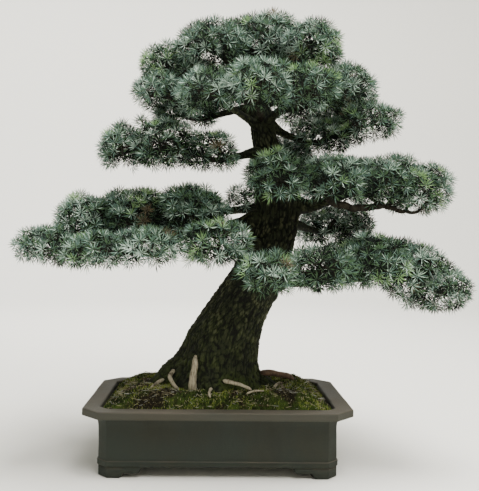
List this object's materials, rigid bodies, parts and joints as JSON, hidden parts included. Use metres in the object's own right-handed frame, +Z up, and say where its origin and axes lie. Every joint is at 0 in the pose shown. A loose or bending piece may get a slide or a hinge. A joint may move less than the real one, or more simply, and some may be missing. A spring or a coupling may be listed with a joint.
{
  "type": "bonsai cedar tree in a pot",
  "caption": "Formal cedar bonsai with a leaning, flared trunk and layered pads of blue-green needles, in a shallow rectangular unglazed pot with cut corners.",
  "frame": {"origin": "middle of the whole box's underside, on the level that the pot's feet stand on", "axes": "+Z up the trunk, +X to the right as seen from the front, +Y away from the front, towards the back of the pot"},
  "size_m": [0.8686, 0.4862, 0.8963],
  "materials": {
    "unglazed_clay": "unglazed, matt, grey-brown",
    "moss_and_soil": "low moss over soil, with dry needles and twigs",
    "bark": "dark, rough, fissured bark",
    "needles": "waxy blue-green needles in whorls"
  },
  "bodies": {
    "root": {"bough_back_left": "bark", "bough_back_right": "bark", "bough_crown_back_left": "bark", "bough_crown_back_right": "bark", "bough_crown_front_left": "bark", "bough_crown_front_right": "bark", "bough_crown_left": "bark", "bough_crown_right": "bark", "bough_crown_right_low": "bark", "bough_left_lower": "bark", "bough_left_lower_back": "bark", "bough_left_lower_front": "bark", "bough_left_lower_inner": "bark", "bough_left_lower_middle": "bark", "bough_left_lower_outer": "bark", "bough_left_lower_upper": "bark", "bough_left_upper": "bark", "bough_right_lower": "bark", "bough_right_lower_front": "bark", "bough_right_lower_outer": "bark", "bough_right_middle": "bark", "bough_right_middle_back": "bark", "bough_right_middle_front": "bark", "foliage_back": "needles", "foliage_back_left": "needles", "foliage_back_right": "needles", "foliage_crown_back": "needles", "foliage_crown_back_left": "needles", "foliage_crown_back_right": "needles", "foliage_crown_front": "needles", "foliage_crown_front_left": "needles", "foliage_crown_front_right": "needles", "foliage_crown_left": "needles", "foliage_crown_right": "needles", "foliage_crown_right_tip": "needles", "foliage_crown_top": "needles", "foliage_crown_top_left": "needles", "foliage_crown_top_right": "needles", "foliage_left_lower_back": "needles", "foliage_left_lower_front": "needles", "foliage_left_lower_inner": "needles", "foliage_left_lower_middle": "needles", "foliage_left_lower_outer": "needles", "foliage_left_lower_tip": "needles", "foliage_left_lower_upper": "needles", "foliage_left_small": "needles", "foliage_left_upper": "needles", "foliage_right_lower": "needles", "foliage_right_lower_inner": "needles", "foliage_right_lower_outer": "needles", "foliage_right_lower_tip": "needles", "foliage_right_middle": "needles", "foliage_right_middle_back": "needles", "foliage_right_middle_inner": "needles", "foliage_right_middle_outer": "needles", "pot": "unglazed_clay", "soil": "moss_and_soil", "trunk": "bark"}
  },
  "joints": []
}
